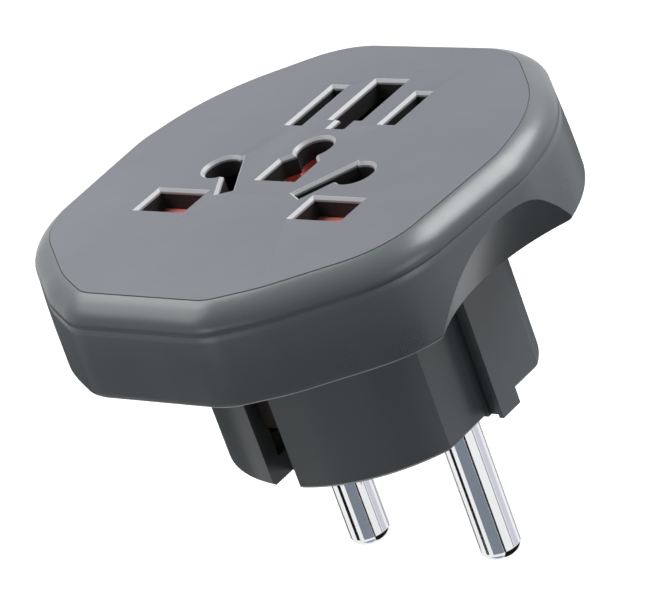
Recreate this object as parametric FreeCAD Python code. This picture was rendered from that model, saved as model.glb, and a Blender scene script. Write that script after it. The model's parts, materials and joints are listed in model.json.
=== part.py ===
"""A travel adapter: a socket head for foreign plugs over a round side-earthed plug body.

Frame: millimetres, +Z up. The origin is the centre of the plug face, midway between the two pins.
The socket face looks up +Z, and +Y points towards the rectangular earth opening.
"""
import os
import math

import FreeCAD
import Part

# Overall heights, measured from the plug face
FACE_Z = 30.2
HEAD_BOTTOM_Z = 18.7
PIN_LENGTH = 19.3

# Plan of the socket face: half of the rounded polygon as (x, y, corner radius), front to rear
PLAN_CORNERS = (
    (8.7, -27.4, 4.5),
    (14.0, -24.4, 19.0),
    (24.4, -15.6, 11.5),
    (25.3, 3.4, 11.0),
    (23.1, 13.7, 23.0),
    (12.1, 24.9, 10.0),
)

# Head shell; each step of the shoulder is (outwards from the face plan, below the face)
SHOULDER_PROFILE = ((0.15, 0.25), (1.4, 0.6), (2.3, 1.6), (2.7, 2.9))
WALL_OFFSET = 2.9
WALL_FOOT = 0.5
WALL_T = 2.0
SHELL_TOP_T = 2.0
LEDGE = 2.0
PLATE_GROOVE = 0.15

# Finger scallop on each long side
SCALLOP_R = 20.5
SCALLOP_Y = -2.8
SCALLOP_TOP_DROP = 4.1
SCALLOP_DEPTH = 4.2

# Face plate and openings
PLATE_T = 0.6
CHAMFER = 0.34
LINE_X = 11.115
LINE_EARTH_Y = 13.38
LINE_PITCH = 22.23
LINE_W = 6.8
LINE_H = 4.12
EARTH_W = 4.27
EARTH_H = 8.38
BLADE_X = 6.35
BLADE_Y = 11.86
BLADE_W = 1.9
BLADE_LONG = 8.25
BLADE_SHORT = 6.6
ROUND_Y = -1.65
ROUND_R = 2.13
SLANT_X = 6.86
SLANT_Y = -3.66
SLANT_ANGLE = 30.0
SLANT_W = 1.72
SLANT_INNER = 3.4
SLANT_OUTER = 4.2
TAIL_W = 2.05
TAIL_END_Y = 7.3
CENTRE_Y = 3.2
CENTRE_W = 5.2
CENTRE_FOOT_Y = -3.7
CENTRE_TOP_Y = 0.35
CENTRE_SLOPE = 1.5

# Shutter and its chamber
INSERT_WEB_T = 1.75
SHUTTER_T = 2.0
SHUTTER_TRAVEL = 4.8
SLIDE_GAP = 0.1
SHUTTER_REACH_X = 15.7
SHUTTER_FRONT_Y = -16.8
SHUTTER_CORNER = 4.5
SHUTTER_SHOULDER_X = 8.6
SHUTTER_NECK_X = 3.2
SHUTTER_NECK_Y = 5.7
RAMP_LENGTH = 4.2
COVER = 0.45
SKIRT_T = 1.2
SKIRT_OFFSET = 0.6
SPRING_X = 6.4
SPRING_OD = 1.9
SPRING_ID = 1.2
PEG_LENGTH = 1.0
GUIDE_LEAD = 1.5
GUIDE_LENGTH = 12.5

# Contacts
LEAF_T = 0.5
STRIP_T = 0.8
STRIP_Z = 9.4
EARTH_STRIP_Z = 5.9
EARTH_GRIP = 4.1
CENTRE_GRIP = 4.8
LEAF_TOP_Z = 22.6
CONTACT_ROOF_Z = 23.6
LINE_PIN_H = 4.1
BLADE_T = 1.6
ROUND_PIN_R = 2.0
UK_CLIP_GAP = 0.08
UK_CLIP_INSET = 0.9
US_CLIP_W = 4.6
RIVET_R = 0.65

# Contact carrier
CARRIER_OFFSET = -1.2
CARRIER_FOOT_Z = 12.0
POCKET_GAP = 0.3

# Plug body
PLUG_R = 17.95
PLUG_WALL = 2.1
WELL_WALL = 0.5
FLAT_INSET = 2.05
FLOOR_T = 2.6
FLANGE_T = 2.0
FLANGE_LIP = 0.3
EDGE_R = 0.4
RAIL_W = 3.2
RAIL_PROUD = 0.25
RAIL_NECK_W = 2.0
RAIL_ROOT = 0.2
RAIL_HEAD = 0.6
SLOT_W = 3.9
SLOT_DEPTH = 3.5

# Plug pins
PIN_X = 9.5
PIN_R = 2.4
PIN_TIP = 1.2
PIN_ROOT_R = 2.7
COLLAR_R = 3.8
COLLAR_T = 1.2
STEM_R = 1.8
NECK_R = 1.1
RIVET_HEAD_R = 1.9
RIVET_HEAD_T = 0.6

# Side earth clips and centre earth sleeve
CLIP_W = 3.0
CLIP_T = 0.5
CLIP_TOP_Z = 17.6
CLIP_FRONT_INSET = 1.35
CLIP_REAR_INSET = 0.0
CLIP_BASE_INSET = 3.35
CLIP_FOOT = 1.6
SLEEVE_Y = -10.0
SLEEVE_IN_R = 2.35
SLEEVE_T = 0.6
SLEEVE_FOOT_Z = 0.8
SLEEVE_TOP_Z = 11.9
EARTH_PIN_TIP_Z = 14.6
SLEEVE_SLIT = 0.6
SLEEVE_HOLE_R = 2.62

# Fasteners
SCREW_ANGLES = (-63.8, 36.2)
SCREW_INSET = 2.1
SCREW_R = 1.2
SCREW_HEAD_R = 2.3
SCREW_HEAD_T = 1.6
SCREW_HEAD_Z = 1.6
SCREW_TOP_Z = 24.2
DRIVE_L = 3.0
DRIVE_W = 0.6
BOSS_T = 0.95
SCREW_SEAT_T = 1.2
RETAINER_T = 1.4
RETAINER_SCREW_X = 5.0
RETAINER_SCREW_Y = 3.2
RETAINER_RIM = 0.6
RETAINER_SCREW_R = 0.9
RETAINER_BITE = 1.2

# Clearances
FIT = 0.1
SEAT = 0.05

# Sides of the prisms that stand for hidden round shanks, heads, sleeves and hollows
ROD_SIDES = 8
HEAD_SIDES = 20
HOLLOW_SIDES = 36

FLAT_X = PLUG_R - FLAT_INSET
RAIL_X = PLUG_R + RAIL_PROUD
UP = FreeCAD.Vector(0, 0, 1)


def vec(x, y, z=0.0):
    return FreeCAD.Vector(x, y, z)


def box(x0, x1, y0, y1, z0, z1):
    return Part.makeBox(x1 - x0, y1 - y0, z1 - z0, vec(x0, y0, z0))


def cylinder(radius, z0, z1, x=0.0, y=0.0):
    return Part.makeCylinder(radius, z1 - z0, vec(x, y, z0), UP)


def rod(radius, z0, z1, x=0.0, y=0.0, sides=ROD_SIDES):
    """A round shank that stays out of sight, drawn with flat sides inside its circle."""
    turns = [2 * math.pi * index / sides for index in range(sides + 1)]
    points = [vec(x + radius * math.cos(turn), y + radius * math.sin(turn), z0) for turn in turns]
    return Part.Face(Part.makePolygon(points)).extrude(vec(0, 0, z1 - z0))


def rod_along_y(radius, start, length):
    """The same rod, lying along Y from its start point."""
    lying = rod(radius, 0, length)
    lying.rotate(vec(0, 0, 0), vec(1, 0, 0), -90)
    lying.translate(start)
    return lying


def turned(outline):
    """Revolves an outline of (radius, height) about the Z axis."""
    points = [vec(radius, 0, z) for radius, z in outline]
    return Part.Face(Part.makePolygon(points + points[:1])).revolve(vec(0, 0, 0), UP, 360)


def mirrored_x(shape):
    return shape.mirror(vec(0, 0, 0), vec(1, 0, 0))


def joined(shapes):
    first, rest = shapes[0], shapes[1:]
    return first.fuse(rest).removeSplitter() if rest else first


def offset_corners(corners, offset):
    """Moves every side of a convex polygon outwards and grows its corner radii to match."""
    moved = []
    count = len(corners)
    for index in range(count):
        before, here, after = corners[index - 1], corners[index], corners[(index + 1) % count]
        edge_in = vec(here[0] - before[0], here[1] - before[1]).normalize()
        edge_out = vec(after[0] - here[0], after[1] - here[1]).normalize()
        normal_in, normal_out = vec(edge_in.y, -edge_in.x), vec(edge_out.y, -edge_out.x)
        bisector = (normal_in + normal_out).normalize()
        reach = offset / bisector.dot(normal_in)
        moved.append((here[0] + bisector.x * reach, here[1] + bisector.y * reach, here[2] + offset))
    return moved


def corner_arcs(corners, z):
    """Start, middle and end of the tangent arc in each corner of a polygon."""
    count = len(corners)
    arcs = []
    for index in range(count):
        here = vec(corners[index][0], corners[index][1], z)
        before = vec(corners[index - 1][0], corners[index - 1][1], z)
        after = vec(corners[(index + 1) % count][0], corners[(index + 1) % count][1], z)
        back, ahead = (before - here).normalize(), (after - here).normalize()
        half = back.getAngle(ahead) / 2
        tangent = corners[index][2] / math.tan(half)
        centre = here + (back + ahead).normalize() * (corners[index][2] / math.sin(half))
        middle = centre + (here - centre).normalize() * corners[index][2]
        arcs.append((here + back * tangent, middle, here + ahead * tangent))
    return arcs


def rounded_wire(corners, z):
    """A closed wire of straight sides and tangent arcs."""
    arcs = corner_arcs(corners, z)
    edges = []
    for index, (start, middle, end) in enumerate(arcs):
        edges.append(Part.Arc(start, middle, end).toShape())
        edges.append(Part.LineSegment(end, arcs[(index + 1) % len(arcs)][0]).toShape())
    return Part.Wire(edges)


def plan_corners(offset):
    right = list(PLAN_CORNERS)
    left = [(-x, y, radius) for x, y, radius in reversed(right)]
    return offset_corners(right + left, offset)


def plan_prism(offset, z0, z1):
    """A straight prism on the plan of the socket face, grown or shrunk by the offset."""
    face = Part.Face(rounded_wire(plan_corners(offset), z0))
    return face.extrude(vec(0, 0, z1 - z0))


def hidden_prism(offset, z0, z1):
    """The same plan with two chords for each corner arc, for surfaces that lie out of sight."""
    points = [point for arc in corner_arcs(plan_corners(offset), z0) for point in arc]
    return Part.Face(Part.makePolygon(points + points[:1])).extrude(vec(0, 0, z1 - z0))


def scallop_tools(clearance):
    """The two tilted cylinders that scoop the finger scallops, grown by a clearance."""
    top_z = FACE_Z - SCALLOP_TOP_DROP
    side_x = max(x for x, y, radius in PLAN_CORNERS) + WALL_OFFSET
    slope = vec(SCALLOP_DEPTH, 0, top_z - HEAD_BOTTOM_Z).normalize()
    outward = vec(slope.z, 0, -slope.x)
    radius = SCALLOP_R + clearance
    start = vec(side_x, SCALLOP_Y, top_z) + outward * SCALLOP_R - slope * SCALLOP_R * 2
    right = Part.makeCylinder(radius, SCALLOP_R * 4, start, slope)
    return [right, mirrored_x(right)]


def prism_of(points, z0, z1):
    wire = Part.makePolygon([vec(x, y, z0) for x, y in points] + [vec(points[0][0], points[0][1], z0)])
    return Part.Face(wire).extrude(vec(0, 0, z1 - z0))


def grown_box(x, y, width, height, grow, z0, z1):
    half_x, half_y = width / 2 + grow, height / 2 + grow
    return box(x - half_x, x + half_x, y - half_y, y + half_y, z0, z1)


def slant_prism(side, inner, outer, width, z0, z1):
    """A slanted bar on one side, from its inner end near the front to its outer end."""
    bar = box(-width / 2, width / 2, -inner, outer, z0, z1)
    bar.rotate(vec(0, 0, 0), UP, -side * SLANT_ANGLE)
    bar.translate(vec(side * SLANT_X, SLANT_Y, 0))
    return bar


def line_opening(side, grow, z0, z1):
    return grown_box(side * LINE_X, LINE_EARTH_Y - LINE_PITCH, LINE_W, LINE_H, grow, z0, z1)


def blade_opening(side, grow, z0, z1):
    height = BLADE_LONG if side < 0 else BLADE_SHORT
    return grown_box(side * BLADE_X, BLADE_Y, BLADE_W, height, grow, z0, z1)


def keyhole_opening(side, grow, z0, z1):
    round_part = cylinder(ROUND_R + grow, z0, z1, side * PIN_X, ROUND_Y)
    slant = slant_prism(side, SLANT_INNER + grow, SLANT_OUTER + grow, SLANT_W + 2 * grow, z0, z1)
    return joined([round_part, slant])


def earth_opening(grow, z0, z1):
    top = grown_box(0, LINE_EARTH_Y, EARTH_W, EARTH_H, grow, z0, z1)
    tail = box(-TAIL_W / 2 - grow, TAIL_W / 2 + grow, TAIL_END_Y - grow, LINE_EARTH_Y, z0, z1)
    return joined([top, tail])


def centre_opening(grow, z0, z1):
    round_part = cylinder(ROUND_R + grow, z0, z1, 0, CENTRE_Y)
    half = CENTRE_W / 2 + grow
    slope_end = (half - CENTRE_SLOPE, CENTRE_TOP_Y + CENTRE_SLOPE)
    right = [(half, CENTRE_FOOT_Y - grow), (half, CENTRE_TOP_Y), slope_end]
    foot = prism_of(right + [(-x, y) for x, y in reversed(right)], z0, z1)
    return joined([round_part, foot])


def all_openings(grow, z0, z1):
    cuts = [earth_opening(grow, z0, z1), centre_opening(grow, z0, z1)]
    for side in (-1, 1):
        cuts.append(line_opening(side, grow, z0, z1))
        cuts.append(blade_opening(side, grow, z0, z1))
        cuts.append(keyhole_opening(side, grow, z0, z1))
    return cuts


def chamfer_upper_rims(solid, top_z, size):
    """Chamfers the rims of every opening in the top face, but not its outer edge."""
    level = [face for face in solid.Faces if abs(face.CenterOfMass.z - top_z) < 1e-6]
    top = max(level, key=lambda face: face.Area)
    rims = [edge for wire in top.Wires if not wire.isSame(top.OuterWire) for edge in wire.Edges]
    return solid.makeChamfer(size, rims)


def face_plate():
    bottom = FACE_Z - PLATE_T
    plate = plan_prism(0.0, bottom, FACE_Z).cut(all_openings(0.0, bottom - 1, FACE_Z + 1))
    return chamfer_upper_rims(plate, FACE_Z, CHAMFER)


def head_shell():
    rings = [rounded_wire(plan_corners(out), FACE_Z - drop) for out, drop in SHOULDER_PROFILE]
    rings.append(rounded_wire(plan_corners(WALL_OFFSET), HEAD_BOTTOM_Z + WALL_FOOT))
    rings.append(rounded_wire(plan_corners(WALL_OFFSET - WALL_FOOT), HEAD_BOTTOM_Z))
    outer = Part.makeLoft(rings, True, True)
    plate_bottom = FACE_Z - PLATE_T
    cavity = hidden_prism(WALL_OFFSET - WALL_T, HEAD_BOTTOM_Z, plate_bottom - SHELL_TOP_T)
    cavity = cavity.cut(scallop_tools(WALL_T))
    step_top = HEAD_BOTTOM_Z + FLANGE_LIP + FLANGE_T
    step = hidden_prism(WALL_OFFSET - WALL_T + FLANGE_LIP, HEAD_BOTTOM_Z, step_top)
    step = step.cut(scallop_tools(WALL_T - FLANGE_LIP))
    mouth = hidden_prism(-LEDGE, plate_bottom - SHELL_TOP_T - 1, FACE_Z)
    recess = plan_prism(PLATE_GROOVE, plate_bottom, FACE_Z)
    return outer.cut([cavity, step, mouth, recess] + scallop_tools(0.0))


def socket_insert():
    top = FACE_Z - PLATE_T
    web_bottom = top - INSERT_WEB_T
    skirt_top = top - SHELL_TOP_T
    floor = web_bottom - SHUTTER_T - 2 * SLIDE_GAP
    core = hidden_prism(-LEDGE - FIT, floor, top)
    skirt = hidden_prism(SKIRT_OFFSET, floor, skirt_top)
    chamber = hidden_prism(-LEDGE - FIT - SKIRT_T, floor - 1, web_bottom)
    openings = all_openings(0.0, floor - 1, FACE_Z)
    body = joined([core, skirt]).cut([chamber] + scallop_tools(WALL_T + FIT) + openings)
    guides = []
    guide_y = SHUTTER_FRONT_Y - GUIDE_LEAD
    for side in (-1, 1):
        x = side * (SHUTTER_REACH_X + SLIDE_GAP + SKIRT_T / 2)
        guides.append(box(x - SKIRT_T / 2, x + SKIRT_T / 2, guide_y, guide_y + GUIDE_LENGTH,
                          floor, web_bottom))
        guides.append(spring_peg(side, chamber_front_y() - SKIRT_T / 2, chamber_front_y() + PEG_LENGTH))
    return joined([body] + guides)


def spring_peg(side, start_y, end_y):
    """A peg along Y that keeps one end of a return spring in place."""
    bottom, top = shutter_levels()
    start = vec(side * SPRING_X, start_y, (bottom + top) / 2)
    return rod_along_y(SPRING_ID / 2 - SEAT, start, end_y - start_y)


def shutter_levels():
    top = FACE_Z - PLATE_T - INSERT_WEB_T - SLIDE_GAP
    return top - SHUTTER_T, top


def shutter_plan(grow, front_y):
    """Outline of the sliding shutter from its broad front to the neck under the earth opening."""
    line_y = LINE_EARTH_Y - LINE_PITCH
    rear = line_y + LINE_H / 2 + COVER + grow
    ramp_foot = LINE_EARTH_Y - EARTH_H / 2 + RAMP_LENGTH
    corner_x, corner_y = SHUTTER_REACH_X - SHUTTER_CORNER, front_y + SHUTTER_CORNER
    half = [(corner_x, front_y), (SHUTTER_REACH_X + grow, corner_y), (SHUTTER_REACH_X + grow, rear),
            (SHUTTER_SHOULDER_X + grow, rear), (SHUTTER_SHOULDER_X + grow, SHUTTER_NECK_Y + grow),
            (SHUTTER_NECK_X + grow, SHUTTER_NECK_Y + grow), (SHUTTER_NECK_X + grow, ramp_foot)]
    return half + [(-x, y) for x, y in reversed(half)]


def shutter():
    bottom, top = shutter_levels()
    plate = prism_of(shutter_plan(0.0, SHUTTER_FRONT_Y), bottom, top)
    windows = [centre_opening(COVER / 2, bottom - 1, top + 1)]
    tail = TAIL_W / 2 + COVER / 2
    ramp_foot = LINE_EARTH_Y - EARTH_H / 2 + RAMP_LENGTH
    windows.append(box(-tail, tail, TAIL_END_Y - COVER, ramp_foot + 1, bottom - 1, top + 1))
    for side in (-1, 1):
        windows.append(keyhole_opening(side, COVER / 2, bottom - 1, top + 1))
        low, high = sorted((side * (SLANT_X - SLANT_W / 2), side * LINE_X))
        rear_y = LINE_EARTH_Y - LINE_PITCH + LINE_H / 2 + COVER
        windows.append(box(low, high, rear_y, rear_y + SHUTTER_TRAVEL, bottom - 1, top + 1))
    rise = top - bottom - 0.4
    start = ramp_foot - RAMP_LENGTH
    profile = [(start, top), (ramp_foot + 1, top), (ramp_foot + 1, top - rise), (ramp_foot, top - rise)]
    points = [vec(-SHUTTER_NECK_X, y, z) for y, z in profile]
    ramp = Part.Face(Part.makePolygon(points + points[:1])).extrude(vec(2 * SHUTTER_NECK_X, 0, 0))
    body = plate.cut(windows + [ramp])
    pegs = [spring_peg(side, SHUTTER_FRONT_Y - PEG_LENGTH, SHUTTER_FRONT_Y + 0.5) for side in (-1, 1)]
    return joined([max(body.Solids, key=lambda solid: solid.Volume)] + pegs)


def chamber_front_y():
    return PLAN_CORNERS[0][1] + LEDGE + FIT + SKIRT_T


def shutter_spring(side):
    """One return spring, drawn as the tube that its turns fill."""
    bottom, top = shutter_levels()
    middle = (bottom + top) / 2
    front, rear = chamber_front_y() + SEAT, SHUTTER_FRONT_Y - SEAT
    start = vec(side * SPRING_X, front, middle)
    outer = rod_along_y(SPRING_OD / 2, start, rear - front)
    return outer.cut(rod_along_y(SPRING_ID / 2, start, rear - front))


def slant_frame(side, along, across):
    """A point in the slanted blade's own directions: along it towards the front, and outwards across it."""
    angle = math.radians(SLANT_ANGLE)
    x = SLANT_X - along * math.sin(angle) + across * math.cos(angle)
    y = SLANT_Y - along * math.cos(angle) - across * math.sin(angle)
    return side * x, y


def interior_prism(shrink, z0, z1):
    """The hollow of the plug body: its round wall and two flats, moved inwards."""
    radius = PLUG_R - PLUG_WALL - shrink
    flat = FLAT_X - PLUG_WALL - shrink
    round_part = rod(radius, z0, z1, sides=HOLLOW_SIDES)
    return round_part.common(box(-flat, flat, -radius, radius, z0, z1))


def pin_wells(side, z0, z1):
    """Room for the line pin and the flat blade of one side, kept inside the round wall."""
    reach = LINE_PIN_H / 2 + LEAF_T + POCKET_GAP
    line_y = LINE_EARTH_Y - LINE_PITCH
    line = grown_box(side * LINE_X, line_y, LINE_W, 2 * reach, 0.0, z0, z1)
    blade = grown_box(side * BLADE_X, BLADE_Y, BLADE_T + 2 * (LEAF_T + POCKET_GAP), BLADE_LONG, 0.0, z0, z1)
    limit = cylinder(PLUG_R - WELL_WALL, z0, z1)
    return [line.common(limit), blade.common(limit)]


def earth_well(z0, z1):
    """Room for the rectangular earth pin, down to its tip just above the earth strip."""
    return grown_box(0, LINE_EARTH_Y, EARTH_W, EARTH_H, 0.0, z0, z1)


def contact_chambers(z0, z1):
    """The pockets of the carrier, each as wide as its clip with room to flex."""
    pockets = []
    grip = LEAF_T + POCKET_GAP
    for side in (-1, 1):
        pockets += pin_wells(side, z0, z1)
        pockets.append(rod(ROUND_PIN_R + grip, z0, z1, side * PIN_X, ROUND_Y, HEAD_SIDES))
        pockets.append(slant_prism(side, SLANT_INNER, SLANT_OUTER - 1.0, BLADE_T + 2 * grip - 0.2, z0, z1))
    half = EARTH_W / 2 + grip
    pockets.append(box(-half, half, LINE_EARTH_Y - EARTH_H / 2, LINE_EARTH_Y + EARTH_H / 2, z0, z1))
    half = CENTRE_W / 2 + grip
    pockets.append(box(-half, half, CENTRE_FOOT_Y, CENTRE_Y + ROUND_R, z0, z1))
    return pockets


def screw_positions():
    """Where the housing screws stand, a set distance inside the round wall."""
    reach = PLUG_R - PLUG_WALL - SCREW_INSET
    turns = [math.radians(angle) for angle in SCREW_ANGLES]
    return [(side * reach * math.cos(turn), reach * math.sin(turn)) for turn in turns for side in (-1, 1)]


def cover_levels():
    """Bottom and top of the cover that lies on the plug body's flange."""
    return HEAD_BOTTOM_Z + FLANGE_LIP + FLANGE_T, shutter_levels()[0] - SLIDE_GAP


def carrier_cuts():
    """The pockets, openings and bores that pass through the carrier and its cover."""
    top = cover_levels()[1]
    cuts = contact_chambers(CARRIER_FOOT_Z - 1, CONTACT_ROOF_Z)
    cuts += all_openings(0.0, CONTACT_ROOF_Z - 1, top + 1)
    cuts += [rod(SCREW_R, CARRIER_FOOT_Z - 1, SCREW_TOP_Z + 0.4, x, y) for x, y in screw_positions()]
    cuts.append(rod(SLEEVE_HOLE_R, CARRIER_FOOT_Z - 1, EARTH_PIN_TIP_Z, 0, SLEEVE_Y, HEAD_SIDES))
    for sign in (-1, 1):
        low, high = sorted((sign * (PLUG_R - CLIP_BASE_INSET - 1), sign * (PLUG_R + 1)))
        cuts.append(box(-SLOT_W / 2, SLOT_W / 2, low, high, CARRIER_FOOT_Z - 1, HEAD_BOTTOM_Z))
    return cuts


def contact_carrier():
    """The lower block, inside the round plug body."""
    block = interior_prism(FIT, CARRIER_FOOT_Z, cover_levels()[0])
    return max(block.cut(carrier_cuts()).Solids, key=lambda solid: solid.Volume)


def contact_cover():
    """The upper block, as wide as the head, that closes the contact chambers under the shutter."""
    bottom, top = cover_levels()
    block = hidden_prism(CARRIER_OFFSET, bottom, top).cut(scallop_tools(WALL_T + FIT * 2))
    return max(block.cut(carrier_cuts()).Solids, key=lambda solid: solid.Volume)


def leaf_pair(x, y, gap, width, across_x, z0, z1):
    """A clip of two upright leaves on a foot, gripping along X or along Y."""
    reach = gap / 2 + LEAF_T
    if across_x:
        foot = box(x - reach, x + reach, y - width / 2, y + width / 2, z0, z0 + LEAF_T)
        leaves = [box(x - reach, x - gap / 2, y - width / 2, y + width / 2, z0, z1),
                  box(x + gap / 2, x + reach, y - width / 2, y + width / 2, z0, z1)]
    else:
        foot = box(x - width / 2, x + width / 2, y - reach, y + reach, z0, z0 + LEAF_T)
        leaves = [box(x - width / 2, x + width / 2, y - reach, y - gap / 2, z0, z1),
                  box(x - width / 2, x + width / 2, y + gap / 2, y + reach, z0, z1)]
    return joined([foot] + leaves)


def strip_top():
    return STRIP_Z + STRIP_T


def uk_clip_edges():
    """Inner and outer x of the rectangular pin's clip, clear of the screw tower and of every wall."""
    reach_y = LINE_PITCH - LINE_EARTH_Y + LINE_PIN_H / 2 + LEAF_T
    round_wall = math.sqrt((PLUG_R - WELL_WALL - UK_CLIP_INSET) ** 2 - reach_y ** 2)
    tower = max(x for x, y in screw_positions() if y < 0) + SCREW_R + FIT + BOSS_T
    room = LINE_W / 2 - POCKET_GAP
    inner = max(tower + UK_CLIP_GAP, LINE_X - room)
    return inner, min(round_wall, FLAT_X - PLUG_WALL - POCKET_GAP, LINE_X + room)


def rivet_places(side):
    """Where the rivets fix each pole's four clips to its strip."""
    inner, outer = uk_clip_edges()
    line = (side * (inner + outer) / 2, LINE_EARTH_Y - LINE_PITCH)
    blade = (side * BLADE_X, BLADE_Y - BLADE_SHORT / 2 + US_CLIP_W / 2)
    return [line, blade, slant_frame(side, SLANT_INNER / 2, 0.0)]


def uk_clip(side):
    x, y = rivet_places(side)[0]
    inner, outer = uk_clip_edges()
    clip = leaf_pair(x, y, LINE_PIN_H, outer - inner, False, strip_top(), LEAF_TOP_Z)
    return clip.cut(rod(RIVET_R, strip_top() - 1, strip_top() + LEAF_T, x, y))


def us_clip(side):
    x, y = rivet_places(side)[1]
    clip = leaf_pair(x, y, BLADE_T, US_CLIP_W, True, strip_top(), LEAF_TOP_Z)
    return clip.cut(rod(RIVET_R, strip_top() - 1, strip_top() + LEAF_T, x, y))


def slant_clip(side):
    reach = BLADE_T / 2 + LEAF_T
    foot = slant_prism(side, SLANT_INNER - 0.2, -0.2, 2 * reach, strip_top(), strip_top() + LEAF_T)
    body = slant_prism(side, SLANT_INNER - 0.2, -0.2, 2 * reach, strip_top(), LEAF_TOP_Z)
    gap = slant_prism(side, SLANT_INNER, 0, BLADE_T, strip_top() + LEAF_T, LEAF_TOP_Z)
    x, y = rivet_places(side)[2]
    rivet_hole = rod(RIVET_R, strip_top() - 1, strip_top() + LEAF_T, x, y)
    return joined([foot, body]).cut([gap, rivet_hole])


def round_clip(side):
    """A part-round leaf round the pin, open where the slanted blade passes, eased at the rivet head."""
    centre_x = side * PIN_X
    ring = cylinder(ROUND_PIN_R + LEAF_T, strip_top(), LEAF_TOP_Z, centre_x, ROUND_Y)
    ring = ring.cut(cylinder(ROUND_PIN_R, strip_top(), LEAF_TOP_Z, centre_x, ROUND_Y))
    eased_top = strip_top() + RIVET_HEAD_T + FIT
    ring = ring.cut(cylinder(ROUND_PIN_R + LEAF_T / 3, strip_top(), eased_top, centre_x, ROUND_Y))
    head_room = cylinder(RIVET_HEAD_R + FIT, strip_top(), eased_top, centre_x, 0)
    way = BLADE_T + 2 * (LEAF_T + POCKET_GAP)
    passage = slant_prism(side, SLANT_INNER + 3, SLANT_OUTER + 3, way, strip_top(), LEAF_TOP_Z)
    return max(ring.cut([head_room, passage]).Solids, key=lambda solid: solid.Volume)


def blade_strip_end():
    return BLADE_Y - BLADE_SHORT / 2 + US_CLIP_W


def pole_bus(side):
    """The strip of one pole, from its plug pin to the four clips."""
    line_y = LINE_EARTH_Y - LINE_PITCH
    inner_x, outer_x = uk_clip_edges()
    slant_x = slant_frame(1, SLANT_INNER / 2, 0.0)[0]
    half = BLADE_T / 2 + LEAF_T
    front = line_y - LINE_PIN_H / 2 - LEAF_T
    right = joined([
        box(inner_x, outer_x, front, 0, STRIP_Z, strip_top()),
        box(slant_x - half, outer_x - 1, SLANT_Y - SLANT_INNER, 0, STRIP_Z, strip_top()),
        box(BLADE_X - half, PIN_X + RIVET_HEAD_R, ROUND_Y, RIVET_HEAD_R + 1, STRIP_Z, strip_top()),
        box(BLADE_X - half, BLADE_X + half, 0, blade_strip_end(), STRIP_Z, strip_top()),
        cylinder(ROUND_PIN_R + LEAF_T, STRIP_Z, strip_top(), PIN_X, ROUND_Y),
    ])
    bus = right if side > 0 else mirrored_x(right)
    holes = [rod(RIVET_R, STRIP_Z - 1, strip_top() + 1, x, y) for x, y in rivet_places(side)]
    holes.append(rod(NECK_R, STRIP_Z - 1, strip_top() + 1, side * PIN_X, 0))
    return bus.cut(holes)


def clip_rivets():
    """The rivets of the three flat-footed clips of each pole, each with a head below its strip."""
    rivets = []
    for side in (-1, 1):
        for x, y in rivet_places(side):
            head = rod(RIVET_R + 0.4, STRIP_Z - 0.4, STRIP_Z, x, y)
            rivets.append(joined([head, rod(RIVET_R, STRIP_Z, strip_top() + LEAF_T, x, y)]))
    return Part.Compound(rivets)


def plug_pin(side):
    """One turned pin: a rounded tip, a shank, a thicker root in the floor, a riveted stem and a collar.

    The collar loses whatever would reach into the wall of the plug body.
    """
    bend = [math.radians(angle) for angle in (0, 30, 60, 90)]
    tip = [(PIN_R - PIN_TIP + PIN_TIP * math.sin(turn), PIN_TIP - PIN_LENGTH - PIN_TIP * math.cos(turn))
           for turn in bend]
    outline = [(0, -PIN_LENGTH)] + tip + [(PIN_R, 0), (PIN_ROOT_R, 0), (PIN_ROOT_R, FLOOR_T), (0, FLOOR_T)]
    collar_z = FLOOR_T + COLLAR_T
    head_z = strip_top() + RIVET_HEAD_T
    steps = [(STEM_R, collar_z, STRIP_Z), (NECK_R, STRIP_Z, strip_top()), (RIVET_HEAD_R, strip_top(), head_z)]
    pieces = [turned(outline)]
    pieces[0].translate(vec(side * PIN_X, 0, 0))
    pieces += [rod(radius, low, high, side * PIN_X, 0) for radius, low, high in steps]
    collar = rod(COLLAR_R, FLOOR_T, collar_z, side * PIN_X, 0)
    return joined(pieces + [collar.common(interior_prism(FIT, FLOOR_T, collar_z))])


def retainer_shanks(z0, z1):
    """The shanks of the two retainer screws, one beside each pin and on opposite sides."""
    return [rod(RETAINER_SCREW_R, z0, z1, side * RETAINER_SCREW_X, side * RETAINER_SCREW_Y)
            for side in (-1, 1)]


def retainer_half_width():
    return RETAINER_SCREW_Y + RETAINER_SCREW_R + RETAINER_RIM


def pin_retainer():
    """The insulating plate over the two pin collars, with a bridge between them."""
    bottom = FLOOR_T + COLLAR_T
    top = bottom + RETAINER_T
    half_y = retainer_half_width()
    plate = box(-PIN_X - COLLAR_R, PIN_X + COLLAR_R, -half_y, half_y, bottom, top)
    plate = plate.common(interior_prism(FIT, bottom, top))
    stems = [rod(STEM_R + FIT, bottom, top, side * PIN_X, 0) for side in (-1, 1)]
    return plate.cut(stems + retainer_shanks(bottom, top))


def retainer_screws():
    plate_top = FLOOR_T + COLLAR_T + RETAINER_T
    screws = []
    for shank in retainer_shanks(FLOOR_T - RETAINER_BITE, plate_top):
        centre = shank.CenterOfMass
        head = rod(RETAINER_SCREW_R * 1.9, plate_top, plate_top + RETAINER_SCREW_R, centre.x, centre.y)
        screws.append(joined([shank, head]))
    return Part.Compound(screws)


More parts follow.
